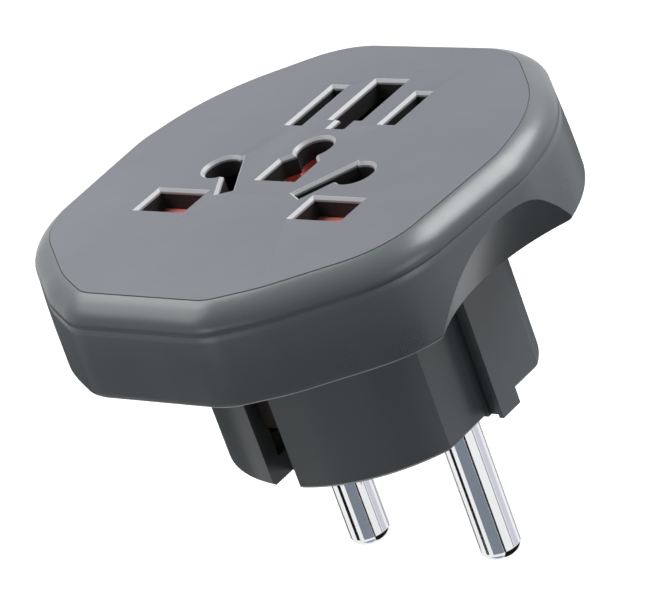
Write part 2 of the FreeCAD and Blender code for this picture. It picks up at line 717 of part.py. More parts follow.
def housing_screws():
    screws = []
    for x, y in screw_positions():
        head = rod(SCREW_HEAD_R, SCREW_HEAD_Z, SCREW_HEAD_Z + SCREW_HEAD_T, x, y, HEAD_SIDES)
        depth = SCREW_HEAD_Z + SCREW_HEAD_T / 2
        bit = grown_box(x, y, DRIVE_L, DRIVE_W, 0.0, SCREW_HEAD_Z - 1, depth)
        cross = bit.fuse(grown_box(x, y, DRIVE_W, DRIVE_L, 0.0, SCREW_HEAD_Z - 1, depth))
        shank = rod(SCREW_R, SCREW_HEAD_Z + SCREW_HEAD_T, SCREW_TOP_Z, x, y)
        screws.append(joined([head, shank]).cut(cross))
    return Part.Compound(screws)


def guide_rail():
    """One guide rail: a root pad, an undercut neck and a head level with the round wall."""
    top = HEAD_BOTTOM_Z + FLANGE_LIP
    inner = FLAT_X - 1.0
    root = box(inner, FLAT_X + RAIL_ROOT, -RAIL_W / 2, RAIL_W / 2, 0, top)
    neck = box(inner, RAIL_X, -RAIL_NECK_W / 2, RAIL_NECK_W / 2, 0, top)
    head = box(RAIL_X - RAIL_HEAD, RAIL_X, -RAIL_W / 2, RAIL_W / 2, 0, top)
    return joined([root, neck, head])


def round_body(top):
    """The round wall with its two flats, chamfered all round at the plug face."""
    wall = turned([(0, 0), (PLUG_R - EDGE_R, 0), (PLUG_R, EDGE_R), (PLUG_R, top), (0, top)])
    half = [(FLAT_X - EDGE_R, 0), (FLAT_X, EDGE_R), (FLAT_X, top)]
    points = [vec(x, -PLUG_R, z) for x, z in half + [(-x, z) for x, z in reversed(half)]]
    flats = Part.Face(Part.makePolygon(points + points[:1])).extrude(vec(0, 2 * PLUG_R, 0))
    return wall.common(flats)


def boss_relief():
    """Room that the screw towers leave for the collars, the retainer, the strips and the sleeve's pad."""
    collar_top = FLOOR_T + COLLAR_T
    plate_y = retainer_half_width() + FIT
    half = BLADE_T / 2 + LEAF_T + FIT
    pad = sleeve_pad_side() + 2 * FIT
    reach = PIN_X + COLLAR_R
    rooms = [box(-reach, reach, -plate_y, plate_y, collar_top, collar_top + RETAINER_T + FIT),
             grown_box(0, SLEEVE_Y, pad, pad, 0.0, EARTH_STRIP_Z - FIT, EARTH_STRIP_Z + STRIP_T + FIT)]
    for side in (-1, 1):
        x = side * BLADE_X
        rooms.append(rod(COLLAR_R + FIT, FLOOR_T, collar_top, side * PIN_X, 0))
        rooms.append(box(x - half, x + half, 0, blade_strip_end() + FIT, STRIP_Z - FIT, CARRIER_FOOT_Z))
    return rooms


def plug_base():
    """The round plug body, its flange that closes the head, its floor, bosses, rails and slots."""
    lip = HEAD_BOTTOM_Z + FLANGE_LIP
    flange = hidden_prism(WALL_OFFSET - WALL_T + FLANGE_LIP - FIT, lip, lip + FLANGE_T)
    flange = flange.cut(scallop_tools(WALL_T - FLANGE_LIP + FIT))
    rail = guide_rail()
    body = joined([round_body(lip), flange, rail, mirrored_x(rail)])
    hollow = [interior_prism(0.0, FLOOR_T, lip + FLANGE_T), earth_well(EARTH_STRIP_Z, lip + FLANGE_T)]
    for side in (-1, 1):
        hollow += pin_wells(side, STRIP_Z, lip + FLANGE_T)
    body = body.cut(hollow)
    bosses = []
    for x, y in screw_positions():
        seat_top = SCREW_HEAD_Z + SCREW_HEAD_T + SCREW_SEAT_T
        seat = rod(SCREW_HEAD_R + FIT + BOSS_T, 0, seat_top, x, y)
        tower = rod(SCREW_R + FIT + BOSS_T, 0, CARRIER_FOOT_Z, x, y)
        boss = joined([seat, tower]).common(interior_prism(-0.5, EDGE_R, CARRIER_FOOT_Z))
        bosses.append(boss.cut(boss_relief()))
    body = joined([body] + bosses)
    cuts = []
    for x, y in screw_positions():
        cuts.append(rod(SCREW_HEAD_R + FIT, -1, SCREW_HEAD_Z + SCREW_HEAD_T, x, y, HEAD_SIDES))
        cuts.append(rod(SCREW_R + FIT, 0, CARRIER_FOOT_Z + 1, x, y))
    cuts += [cylinder(PIN_ROOT_R, -1, FLOOR_T + 1, side * PIN_X, 0) for side in (-1, 1)]
    cuts.append(sleeve_outside(SLEEVE_FOOT_Z, CARRIER_FOOT_Z))
    cuts.append(cylinder(SLEEVE_HOLE_R, -1, FLOOR_T, 0, SLEEVE_Y))
    cuts += retainer_shanks(FLOOR_T - RETAINER_BITE, FLOOR_T)
    for sign in (-1, 1):
        low, high = sorted((sign * (PLUG_R - SLOT_DEPTH), sign * (PLUG_R + 1)))
        cuts.append(box(-SLOT_W / 2, SLOT_W / 2, low, high, -1, HEAD_BOTTOM_Z))
    return body.cut(cuts)


def sleeve_outside(z0, z1):
    """The hidden outside of the split sleeve."""
    return rod(SLEEVE_IN_R + SLEEVE_T, z0, z1, 0, SLEEVE_Y, HEAD_SIDES)


def side_clip(sign):
    """One earth leaf: its foot lies on the strip and its blade stands in the slot of the wall."""
    foot_z = EARTH_STRIP_Z + STRIP_T
    face_y = PLUG_R - (CLIP_FRONT_INSET if sign < 0 else CLIP_REAR_INSET)
    back_y = face_y - CLIP_T
    foot_y = PLUG_R - CLIP_BASE_INSET - CLIP_FOOT
    if sign < 0:
        foot_y = max(foot_y, SLEEVE_IN_R + SLEEVE_T + SEAT - SLEEVE_Y)
    outline = [(foot_y, foot_z), (face_y, foot_z), (face_y, CLIP_TOP_Z), (back_y, CLIP_TOP_Z),
               (back_y, foot_z + CLIP_T), (foot_y, foot_z + CLIP_T)]
    points = [vec(-CLIP_W / 2, sign * y, z) for y, z in outline]
    leaf = Part.Face(Part.makePolygon(points + points[:1])).extrude(vec(CLIP_W, 0, 0))
    corner = vec(0, sign * face_y, foot_z)
    bend = min(leaf.Edges, key=lambda edge: edge.CenterOfMass.distanceToPoint(corner))
    return leaf.makeFillet(CLIP_T * 0.9, [bend])


def sleeve_pad_side():
    return 2 * (SLEEVE_IN_R + SLEEVE_T + LEAF_T)


def earth_bar():
    """The strip that joins the two side clips, the sleeve and the two upper earth contacts."""
    top = EARTH_STRIP_Z + STRIP_T
    end_y = PLUG_R - CLIP_BASE_INSET
    strip = box(-CLIP_W / 2, CLIP_W / 2, -end_y, end_y, EARTH_STRIP_Z, top)
    pad = grown_box(0, SLEEVE_Y, sleeve_pad_side(), sleeve_pad_side(), 0.0, EARTH_STRIP_Z, top)
    half = CENTRE_W / 2 + LEAF_T
    centre = box(-half, half, CENTRE_FOOT_Y, CENTRE_Y + ROUND_R, EARTH_STRIP_Z, top)
    half = EARTH_W / 2 + LEAF_T
    rear = box(-half, half, LINE_EARTH_Y - EARTH_H / 2 + POCKET_GAP, end_y, EARTH_STRIP_Z, top)
    bar = joined([strip, pad, centre, rear])
    return bar.cut(sleeve_outside(EARTH_STRIP_Z - 1, top + 1))


def earth_uk_clip():
    foot_z = EARTH_STRIP_Z + STRIP_T
    start = LINE_EARTH_Y - EARTH_H / 2 + 2 * POCKET_GAP
    end = PLUG_R - CLIP_BASE_INSET - CLIP_FOOT - FIT
    return leaf_pair(0, (start + end) / 2, EARTH_GRIP, end - start, True, foot_z, LEAF_TOP_Z)


def earth_centre_clip():
    foot_z = EARTH_STRIP_Z + STRIP_T
    width = CENTRE_Y + ROUND_R - CENTRE_FOOT_Y - 2 * POCKET_GAP
    middle = (CENTRE_Y + ROUND_R + CENTRE_FOOT_Y) / 2
    return leaf_pair(0, middle, CENTRE_GRIP, width, True, foot_z, LEAF_TOP_Z)


def earth_sleeve():
    """The split sleeve behind the hole in the plug face."""
    bore = cylinder(SLEEVE_IN_R, SLEEVE_FOOT_Z, SLEEVE_TOP_Z, 0, SLEEVE_Y)
    ring = sleeve_outside(SLEEVE_FOOT_Z, SLEEVE_TOP_Z).cut(bore)
    slit_z = EARTH_STRIP_Z + STRIP_T + SLEEVE_T
    across = 2 * (SLEEVE_IN_R + SLEEVE_T) + 1
    slits = [grown_box(0, SLEEVE_Y, SLEEVE_SLIT, across, 0.0, slit_z, SLEEVE_TOP_Z),
             grown_box(0, SLEEVE_Y, across, SLEEVE_SLIT, 0.0, slit_z, SLEEVE_TOP_Z)]
    return ring.cut(slits)


def nodes():
    """Every sub-part by name, each in its place in the assembly."""
    parts = {
        "face_plate": face_plate(),
        "head_shell": head_shell(),
        "socket_insert": socket_insert(),
        "shutter": shutter(),
        "contact_carrier": contact_carrier(),
        "contact_cover": contact_cover(),
        "plug_base": plug_base(),
        "pin_retainer": pin_retainer(),
        "retainer_screws": retainer_screws(),
        "housing_screws": housing_screws(),
        "clip_rivets": clip_rivets(),
        "earth_bar": earth_bar(),
        "earth_uk_clip": earth_uk_clip(),
        "earth_centre_clip": earth_centre_clip(),
        "earth_sleeve": earth_sleeve(),
        "earth_clip_front": side_clip(-1),
        "earth_clip_rear": side_clip(1),
    }
    for side, word, pole in ((-1, "left", "neutral"), (1, "right", "live")):
        parts["shutter_spring_" + word] = shutter_spring(side)
        parts["plug_pin_" + word] = plug_pin(side)
        parts[pole + "_bus"] = pole_bus(side)
        parts[pole + "_uk_clip"] = uk_clip(side)
        parts[pole + "_us_clip"] = us_clip(side)
        parts[pole + "_slant_clip"] = slant_clip(side)
        parts[pole + "_round_clip"] = round_clip(side)
    return parts


def main():
    os.makedirs("parts", exist_ok=True)
    for name, shape in sorted(nodes().items()):
        shape.exportStep("parts/" + name + ".step")
        print(name, "solids", len(shape.Solids), "valid", shape.isValid(), "volume", round(shape.Volume, 1))


if __name__ == "__main__":
    main()
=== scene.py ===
"""Travel adapter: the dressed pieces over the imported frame, one class for each sub-assembly.

Lengths in the pieces' classes are millimetres in the frame's own axes, and MM turns them into
scene metres. The studio is in metres throughout. Angles are degrees.
"""
from __future__ import annotations

import json
import logging
import math
from dataclasses import dataclass
from enum import Enum
from typing import Any, Mapping, Sequence

import bmesh
import bpy
from mathutils import Matrix, Quaternion, Vector
from mathutils.geometry import interpolate_bezier

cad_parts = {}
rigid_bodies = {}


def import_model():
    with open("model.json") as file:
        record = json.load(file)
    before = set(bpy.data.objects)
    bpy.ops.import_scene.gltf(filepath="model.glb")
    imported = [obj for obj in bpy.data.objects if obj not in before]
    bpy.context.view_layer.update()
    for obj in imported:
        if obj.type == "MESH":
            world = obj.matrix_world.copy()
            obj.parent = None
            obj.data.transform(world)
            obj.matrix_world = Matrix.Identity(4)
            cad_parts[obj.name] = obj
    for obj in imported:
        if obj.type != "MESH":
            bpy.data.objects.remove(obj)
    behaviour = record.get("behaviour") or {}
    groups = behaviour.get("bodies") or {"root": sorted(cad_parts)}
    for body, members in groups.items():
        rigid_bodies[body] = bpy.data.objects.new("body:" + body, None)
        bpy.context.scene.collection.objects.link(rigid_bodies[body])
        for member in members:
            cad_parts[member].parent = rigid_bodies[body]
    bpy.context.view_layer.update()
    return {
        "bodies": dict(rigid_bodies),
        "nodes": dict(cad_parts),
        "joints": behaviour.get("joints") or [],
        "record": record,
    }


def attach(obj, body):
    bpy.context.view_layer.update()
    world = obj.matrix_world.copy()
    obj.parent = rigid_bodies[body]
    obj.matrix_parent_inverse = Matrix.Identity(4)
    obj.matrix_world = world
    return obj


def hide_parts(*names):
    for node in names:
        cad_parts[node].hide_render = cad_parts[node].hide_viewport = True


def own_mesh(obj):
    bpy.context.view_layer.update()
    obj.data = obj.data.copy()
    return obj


MM = 0.001
LOG = logging.getLogger("travel_adapter")

Pair = tuple[float, float]
Triple = tuple[float, float, float]

WHITE: Triple = (1.0, 1.0, 1.0)
UP = Vector((0, 0, 1))


class Slot(Enum):
    """The material slots of the record, by the finish that each one takes."""

    FACE = "face_grey"
    SHELL = "shell_grey"
    INNER = "inner_black"
    SHUTTER = "shutter_red"
    PIN = "pin_plating"
    CONTACT = "contact_brass"
    DARK = "dark_contact"
    SPRING = "spring_steel"
    SCREW = "screw_steel"


class Side(Enum):
    """Left or right of the middle plane, as the sign of x."""

    LEFT = -1
    RIGHT = 1


Materials = Mapping[Slot, bpy.types.Material]


# Shader expressions


class Value:
    """A shader socket that takes part in Python arithmetic."""

    def __init__(self, tree: bpy.types.NodeTree, socket: bpy.types.NodeSocket) -> None:
        """Wraps one output socket of a node tree."""
        self.tree = tree
        self.socket = socket

    def _math(self, operation: str, other: Value | float) -> Value:
        """Adds one Math node with this value as its first operand.

        Args:
            operation: The node's operation.
            other: Its second operand.

        Returns:
            The node's output.
        """
        node = self.tree.nodes.new("ShaderNodeMath")
        node.operation = operation
        for socket, operand in zip(node.inputs, (self, other)):
            feed(self.tree, socket, operand)
        return Value(self.tree, node.outputs[0])

    def __add__(self, other: Value | float) -> Value:
        """self + other."""
        return self._math("ADD", other)

    def __sub__(self, other: Value | float) -> Value:
        """self - other."""
        return self._math("SUBTRACT", other)

    def __mul__(self, other: Value | float) -> Value:
        """self * other."""
        return self._math("MULTIPLY", other)

    def above(self, other: Value | float) -> Value:
        """The larger of self and other."""
        return self._math("MAXIMUM", other)


def feed(tree: bpy.types.NodeTree, socket: bpy.types.NodeSocket, value: Any) -> None:
    """Links or sets one input socket.

    Args:
        tree: The tree that holds the socket.
        socket: The input.
        value: A Value to link, or a plain number, colour or vector to set.
    """
    if isinstance(value, Value):
        tree.links.new(value.socket, socket)
    elif socket.type == "RGBA" and len(value) == 3:
        socket.default_value = (*value, 1.0)
    else:
        socket.default_value = value


class Graph:
    """A node tree under construction."""

    def __init__(self, tree: bpy.types.NodeTree, output: str) -> None:
        """Empties the tree and gives it its output node.

        Args:
            tree: The node tree.
            output: The output node's type.
        """
        self.tree = tree
        self.tree.nodes.clear()
        self.output = self.tree.nodes.new(output)

    def node(self, kind: str, sockets: Mapping[str | int, Any] | None = None,
             output: str | int = 0) -> Value:
        """Adds one node.

        Args:
            kind: The node's type.
            sockets: Values or links for its inputs, by name or index.
            output: The output to return.

        Returns:
            The chosen output.
        """
        node = self.tree.nodes.new(kind)
        for key, value in (sockets or {}).items():
            feed(self.tree, node.inputs[key], value)
        return Value(self.tree, node.outputs[output])

    def glow(self, colour: Triple, strength: float) -> Value:
        """A surface that only sends out light."""
        return self.node("ShaderNodeEmission", {"Color": colour, "Strength": strength})

    def matt(self, colour: Triple) -> Value:
        """A surface that only scatters light."""
        return self.node("ShaderNodeBsdfDiffuse", {"Color": colour})

    def choose(self, factor: Value, first: Value, second: Value) -> Value:
        """The first surface where the factor is 0, and the second where it is 1."""
        return self.node("ShaderNodeMixShader", {0: factor, 1: first, 2: second})

    def finish(self, surface: Value) -> None:
        """Feeds the surface of the output."""
        feed(self.tree, self.output.inputs["Surface"], surface)

    def seen_directly(self) -> Value:
        """1 for rays from the camera, a reflection or a pane, and 0 for light that lands."""
        camera = self.node("ShaderNodeLightPath", output="Is Camera Ray")
        return camera.above(self.seen_in_gloss())

    def seen_in_gloss(self) -> Value:
        """1 for rays from a reflection or a pane."""
        glossy = self.node("ShaderNodeLightPath", output="Is Glossy Ray")
        return glossy.above(self.node("ShaderNodeLightPath", output="Is Transmission Ray"))


class Shader(Graph):
    """A node material under construction."""

    # The colour sockets of a Mix node, by index
    MIX_FACTOR = 0
    MIX_FIRST = 6
    MIX_SECOND = 7
    MIX_RESULT = 2

    def __init__(self, name: str) -> None:
        """Starts an empty material.

        Args:
            name: The material's name.
        """
        self.material = bpy.data.materials.new(name)
        self.material.use_nodes = True
        super().__init__(self.material.node_tree, "ShaderNodeOutputMaterial")

    def place(self) -> Value:
        """The piece's own coordinates, in metres."""
        return self.node("ShaderNodeTexCoord", output="Object")

    def noise(self, where: Value, scale: float, detail: float,
              stretch: Triple | None = None) -> Value:
        """A noise field from 0 to 1.

        Args:
            where: The coordinates that it follows.
            scale: Cells in a metre.
            detail: Octaves of finer noise.
            stretch: Scale along each axis, for streaks.

        Returns:
            The field.
        """
        if stretch is not None:
            where = self.node("ShaderNodeMapping", {"Vector": where, "Scale": stretch})
        sockets = {"Vector": where, "Scale": scale, "Detail": detail}
        return self.node("ShaderNodeTexNoise", sockets)

    def ramp(self, value: Value, low: Pair, high: Pair) -> Value:
        """Maps a value through two grey stops.

        Args:
            value: The value.
            low: The lower stop's position and level.
            high: The upper stop's position and level.

        Returns:
            The ramp's grey.
        """
        node = self.tree.nodes.new("ShaderNodeValToRGB")
        for element, (position, level) in zip(node.color_ramp.elements, (low, high)):
            element.position = position
            element.color = (level, level, level, 1.0)
        feed(self.tree, node.inputs["Fac"], value)
        return Value(self.tree, node.outputs["Color"])

    def blend(self, first: Value | Triple, second: Value | Triple,
              factor: Value | float) -> Value:
        """Mixes two colours.

        Args:
            first: The colour where the factor is 0.
            second: The colour where it is 1.
            factor: The factor, from 0 to 1.

        Returns:
            The mixed colour.
        """
        node = self.tree.nodes.new("ShaderNodeMix")
        node.data_type = "RGBA"
        feed(self.tree, node.inputs[self.MIX_FACTOR], factor)
        feed(self.tree, node.inputs[self.MIX_FIRST], first)
        feed(self.tree, node.inputs[self.MIX_SECOND], second)
        return Value(self.tree, node.outputs[self.MIX_RESULT])

    def bump(self, height: Value, strength: float, depth: float) -> Value:
        """Turns a height field into a normal; the depth is in millimetres."""
        sockets = {"Height": height, "Strength": strength, "Distance": depth * MM}
        return self.node("ShaderNodeBump", sockets)

    def surface(self, sockets: Mapping[str | int, Any]) -> bpy.types.Material:
        """Finishes the material.

        Args:
            sockets: The Principled surface's inputs by name.

        Returns:
            The material.
        """
        self.finish(self.node("ShaderNodeBsdfPrincipled", sockets))
        return self.material


# Finishes

# The middle level of a noise field
NOISE_MIDDLE = 0.5


def shade(colour: Triple, factor: float) -> Triple:
    """A colour made lighter or darker by a factor."""
    return tuple(min(1.0, channel * factor) for channel in colour)


@dataclass(frozen=True)
class Pattern:
    """A noise field that is read through two grey stops of (position, level)."""

    cells: float
    detail: float
    low: Pair
    high: Pair
    stretch: Triple | None = None

    def drawn(self, shader: Shader, where: Value) -> Value:
        """Draws the pattern.

        Args:
            shader: The material that takes it.
            where: The coordinates that it follows.

        Returns:
            Its grey at each place.
        """
        noise = shader.noise(where, self.cells, self.detail, self.stretch)
        return shader.ramp(noise, self.low, self.high)


# Flow shading, smears of gloss and patches of wear with a painted edge highlight on plastic, and haze
# on metal
FLOW = Pattern(45.0, 3.0, (0.3, 0.0), (0.7, 1.0), (1.0, 1.0, 2.2))
SMEAR = Pattern(160.0, 4.0, (0.35, 0.0), (0.7, 1.0), (1.0, 1.0, 0.5))
WEAR_AND_HIGHLIGHT_PATCHES = Pattern(400.0, 3.0, (0.35, 0.2), (0.65, 1.0))
HAZE = Pattern(220.0, 4.0, (0.4, 0.0), (0.75, 1.0))


@dataclass(frozen=True)
class MouldedPlastic:
    """Injection-moulded plastic with an eroded grain, faint flow shading and edges lightened partly
    by rubbing and partly by a painted highlight.
    """

    name: str
    colour: Triple
    roughness: float
    specular: float
    wear_and_edge_highlight: float = 0.0
    grain_strength: float = 0.35
    grain_cells: float = 7000.0
    grain_detail: float = 2.5
    grain_depth: float = 0.010
    grain_rise: float = 0.08
    fleck_floor: float = 0.35
    fleck_share: float = 0.5
    fleck_tint: float = 1.12
    mottle: float = 0.05
    edge_low: Pair = (0.52, 0.0)
    edge_high: Pair = (0.60, 1.0)
    rubbed_highlight_tint: float = 1.6
    smear_rise: float = 0.07
    smear_margin: float = 0.03

    def build(self) -> bpy.types.Material:
        """Makes the material.

        Returns:
            The material.
        """
        shader = Shader(self.name)
        where = shader.place()
        grain = shader.noise(where, self.grain_cells, self.grain_detail)
        dark = shade(self.colour, 1 - self.mottle)
        light = shade(self.colour, 1 + self.mottle)
        colour = shader.blend(dark, light, FLOW.drawn(shader, where))
        flecks = (grain - self.fleck_floor) * self.fleck_share
        colour = shader.blend(colour, shade(self.colour, self.fleck_tint), flecks)
        if self.wear_and_edge_highlight:
            # Lighter convex edges: partly rubbed wear, partly a painted highlight along the edges
            edge = shader.node("ShaderNodeNewGeometry", output="Pointiness")
            rubbed_and_highlit = shader.ramp(edge, self.edge_low, self.edge_high)
            rubbed_and_highlit = rubbed_and_highlit * WEAR_AND_HIGHLIGHT_PATCHES.drawn(shader, where) * self.wear_and_edge_highlight
            colour = shader.blend(colour, shade(self.colour, self.rubbed_highlight_tint), rubbed_and_highlit)
        smear = SMEAR.drawn(shader, where) * self.smear_rise
        rough = smear + (self.roughness - self.smear_margin)
        rough = rough + (grain - NOISE_MIDDLE) * self.grain_rise
        return shader.surface({
            "Base Color": colour,
            "Roughness": rough,
            "Specular IOR Level": self.specular,
            "Normal": shader.bump(grain, self.grain_strength, self.grain_depth)})


@dataclass(frozen=True)
class WorkedMetal:
    """Plated, rolled or drawn metal with fine marks along its working direction."""

    name: str
    colour: Triple
    roughness: float
    marks: Triple = (40.0, 40.0, 6000.0)
    tarnish: float = 0.1
    mark_detail: float = 3.0
    mark_depth: float = 0.002
    mark_strength: float = 0.3
    mark_rise: float = 0.12
    haze_share: float = 0.6
    smoothest: float = 0.03

    def build(self) -> bpy.types.Material:
        """Makes the material.

        Returns:
            The material.
        """
        shader = Shader(self.name)
        where = shader.place()
        marks = shader.noise(where, 1.0, self.mark_detail, self.marks)
        haze = HAZE.drawn(shader, where)
        colour = shader.blend(self.colour, shade(self.colour, 1 - self.tarnish), haze)
        dulled = haze * (self.tarnish * self.haze_share)
        rough = dulled + self.roughness + (marks - NOISE_MIDDLE) * self.mark_rise
        return shader.surface({
            "Base Color": colour,
            "Metallic": 1.0,
            "Roughness": rough.above(self.smoothest),
            "Normal": shader.bump(marks, self.mark_strength, self.mark_depth)})


# Cells in a metre along each axis of the marks on rolled strip and on drawn wire
ROLLED: Triple = (3000.0, 3000.0, 60.0)
DRAWN: Triple = (900.0, 900.0, 900.0)

FINISHES: dict[Slot, MouldedPlastic | WorkedMetal] = {
    Slot.FACE: MouldedPlastic("FaceGrey", (0.112, 0.119, 0.135), 0.44, 0.25, wear_and_edge_highlight=0.2),
    Slot.SHELL: MouldedPlastic("HousingGrey", (0.086, 0.099, 0.106), 0.31, 0.47, wear_and_edge_highlight=0.1),
    Slot.INNER: MouldedPlastic("InnerBlack", (0.010, 0.010, 0.011), 0.6, 0.3, grain_strength=0.2),
    Slot.SHUTTER: MouldedPlastic("ShutterRed", (0.85, 0.24, 0.21), 0.45, 0.4, grain_strength=0.15),
    Slot.PIN: WorkedMetal("PinPlating", (0.84, 0.85, 0.87), 0.06, tarnish=0.05),
    Slot.CONTACT: WorkedMetal("ContactStrip", (0.62, 0.50, 0.28), 0.30, ROLLED, tarnish=0.25),
    # A near-black metal for the earth leaves: painted shade deep in their slots
    Slot.DARK: WorkedMetal("ContactPaintedShade", (0.022, 0.018, 0.017), 0.5, ROLLED, tarnish=0.3),
    Slot.SPRING: WorkedMetal("SpringWire", (0.5, 0.5, 0.5), 0.28, DRAWN),
    Slot.SCREW: WorkedMetal("ScrewZinc", (0.45, 0.45, 0.46), 0.32, DRAWN, tarnish=0.3),
}
# A light grey for the chamfers and walls of the face plate's openings: a painted highlight
RIM_PAINTED_HIGHLIGHT = MouldedPlastic("RimPaintedHighlight", (0.36, 0.37, 0.39), 0.4, 0.4)


# Mesh work

# Vertices of a copied node merge within this many millimetres
COPY_MERGE = 0.0005
# A copy's edges that turn by less are dissolved, and those that turn by more are sharp
COPY_FLAT = 0.6
COPY_SHARP = 28.0
# Edges that turn by more are rounded, in this many steps
SOFT_ANGLE = 30.0
SOFT_STEPS = 2


def from_bmesh(name: str, built: bmesh.types.BMesh) -> bpy.types.Object:
    """Turns a finished bmesh into an object at the scene's origin and frees it.

    Args:
        name: The object's name.
        built: The bmesh, in metres in the frame's axes.

    Returns:
        The new object.
    """
    mesh = bpy.data.meshes.new(name)
    built.to_mesh(mesh)
    built.free()
    made = bpy.data.objects.new(name, mesh)
    bpy.context.scene.collection.objects.link(made)
    return made


def cut(piece: bpy.types.Object, tools: Sequence[bpy.types.Object]) -> None:
    """Cuts tools out of a piece with exact Booleans and removes them.

    Args:
        piece: The piece, which gets a new mesh.
        tools: The tool objects.
    """
    for tool in tools:
        modifier = piece.modifiers.new("Cut", "BOOLEAN")
        modifier.operation = "DIFFERENCE"
        modifier.solver = "EXACT"
        modifier.object = tool
    bpy.context.view_layer.update()
    graph = bpy.context.evaluated_depsgraph_get()
    mesh = bpy.data.meshes.new_from_object(piece.evaluated_get(graph))
    piece.modifiers.clear()
    piece.data = mesh
    for tool in tools:
        bpy.data.objects.remove(tool)


def smooth_by_angle(built: bmesh.types.BMesh, degrees: float) -> None:
    """Shades faces smooth and marks the sharp edges.

    Args:
        built: The bmesh.
        degrees: An edge that turns by this much or more is sharp.
    """
    for face in built.faces:
        face.smooth = True
    limit = math.radians(degrees)
    for edge in built.edges:
        edge.smooth = edge.calc_face_angle(math.pi) < limit


def soften_edges(piece: bpy.types.Object, width: float, degrees: float = SOFT_ANGLE) -> None:
    """Rounds a piece's sharp edges.

    Args:
        piece: The piece, with merged vertices.
        width: The rounding's width in millimetres.
        degrees: Edges that turn by less stay as they are.
    """
    bevel = piece.modifiers.new("Soften", "BEVEL")
    bevel.width = width * MM
    bevel.limit_method = "ANGLE"
    bevel.angle_limit = math.radians(degrees)
    bevel.segments = SOFT_STEPS
    bevel.use_clamp_overlap = True
    bevel.harden_normals = True
    bevel.miter_outer = "MITER_ARC"


def dress(piece: bpy.types.Object, body: str, slot: Slot, materials: Materials,
          nodes: Sequence[str]) -> None:
    """Gives a finished piece its material and its body, and hides the nodes that it stands for.

    Args:
        piece: The piece, in place.
        body: The body that it rides on.
        slot: Its material slot in the record.
        materials: The materials by slot.
        nodes: The nodes that it replaces.
    """
    piece.data.materials.clear()
    piece.data.materials.append(materials[slot])
    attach(piece, body)
    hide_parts(*nodes)
    LOG.info("%s rides on %s, %d faces", piece.name, body, len(piece.data.polygons))


def merged_copy(node: bpy.types.Object, name: str) -> bpy.types.Object:
    """A copy of a node with its loose triangles joined into plain faces.

    Args:
        node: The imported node's object.
        name: The copy's name.

    Returns:
        The copy.
    """
    built = bmesh.new()
    built.from_mesh(node.data)
    bmesh.ops.remove_doubles(built, verts=built.verts, dist=COPY_MERGE * MM)
    bmesh.ops.dissolve_limit(
        built, angle_limit=math.radians(COPY_FLAT), verts=built.verts, edges=built.edges,
        use_dissolve_boundaries=False, delimit={"NORMAL"})
    smooth_by_angle(built, COPY_SHARP)
    return from_bmesh(name, built)


# The head


@dataclass(frozen=True)
class Corner:
    """One rounded corner of the head's plan."""

    x: float
    y: float
    radius: float


@dataclass(frozen=True)
class Plan:
    """The rounded outline of the socket face; the left half mirrors the right."""

    corners: tuple[Corner, ...] = (
        Corner(8.7, -27.4, 4.5), Corner(14.0, -24.4, 19.0), Corner(24.4, -15.6, 11.5),
        Corner(25.3, 3.4, 11.0), Corner(23.1, 13.7, 23.0), Corner(12.1, 24.9, 10.0))
    steps: int = 10

    def loop(self, built: bmesh.types.BMesh, height: float) -> list[bmesh.types.BMEdge]:
        """Draws the outline by spinning a vertex about each corner's centre.

        Args:
            built: The bmesh to draw in; its "outward" layer gets each vertex's direction.
            height: The height above the plug face.

        Returns:
            The closed loop's edges.
        """
        outward = built.verts.layers.float_vector.new("outward")
        ring = list(self.corners) + [Corner(-c.x, c.y, c.radius) for c in reversed(self.corners)]
        ends: list[tuple[bmesh.types.BMVert, bmesh.types.BMVert]] = []
        for index, corner in enumerate(ring):
            here = Vector((corner.x, corner.y, height))
            before, after = ring[index - 1], ring[(index + 1) % len(ring)]
            back = (Vector((before.x, before.y, height)) - here).normalized()
            ahead = (Vector((after.x, after.y, height)) - here).normalized()
            half = back.angle(ahead) / 2
            centre = here + (back + ahead).normalized() * (corner.radius / math.sin(half))
            start = built.verts.new((here + back * (corner.radius / math.tan(half))) * MM)
            known = set(built.verts)
            bmesh.ops.spin(built, geom=[start], cent=centre * MM, axis=UP,
                           angle=math.pi - 2 * half, steps=self.steps)
            made = [vert for vert in built.verts if vert not in known]
            for vert in [start, *made]:
                vert[outward] = (vert.co - centre * MM).normalized()
            end = max(made, key=lambda vert: (vert.co - start.co).length)
            ends.append((start, end))
        for index, (_, end) in enumerate(ends):
            built.edges.new((end, ends[(index + 1) % len(ends)][0]))
        return list(built.edges)

    def solid(self, name: str, profile: Sequence[Pair]) -> bpy.types.Object:
        """Raises the outline into a closed solid.

        Args:
            name: The object's name.
            profile: Rings of (offset outwards, height), from the top down.

        Returns:
            The solid's object.
        """
        built = bmesh.new()
        edges = self.loop(built, profile[0][1])
        outward = built.verts.layers.float_vector["outward"]
        for vert in built.verts:
            vert.co += vert[outward] * profile[0][0] * MM
        bmesh.ops.contextual_create(built, geom=edges)
        for (offset, height), (next_offset, next_height) in zip(profile, profile[1:]):
            made = bmesh.ops.extrude_edge_only(built, edges=edges)["geom"]
            edges = [item for item in made if isinstance(item, bmesh.types.BMEdge)]
            for vert in {vert for edge in edges for vert in edge.verts}:
                vert.co += vert[outward] * (next_offset - offset) * MM
                vert.co.z += (next_height - height) * MM
        bmesh.ops.contextual_create(built, geom=edges)
        bmesh.ops.recalc_face_normals(built, faces=built.faces)
        return from_bmesh(name, built)


@dataclass(frozen=True)
class Scallop:
    """A finger rest: a tilted cylinder that starts below the face and is deepest at the foot."""

    radius: float
    y: float
    drop: float
    depth: float


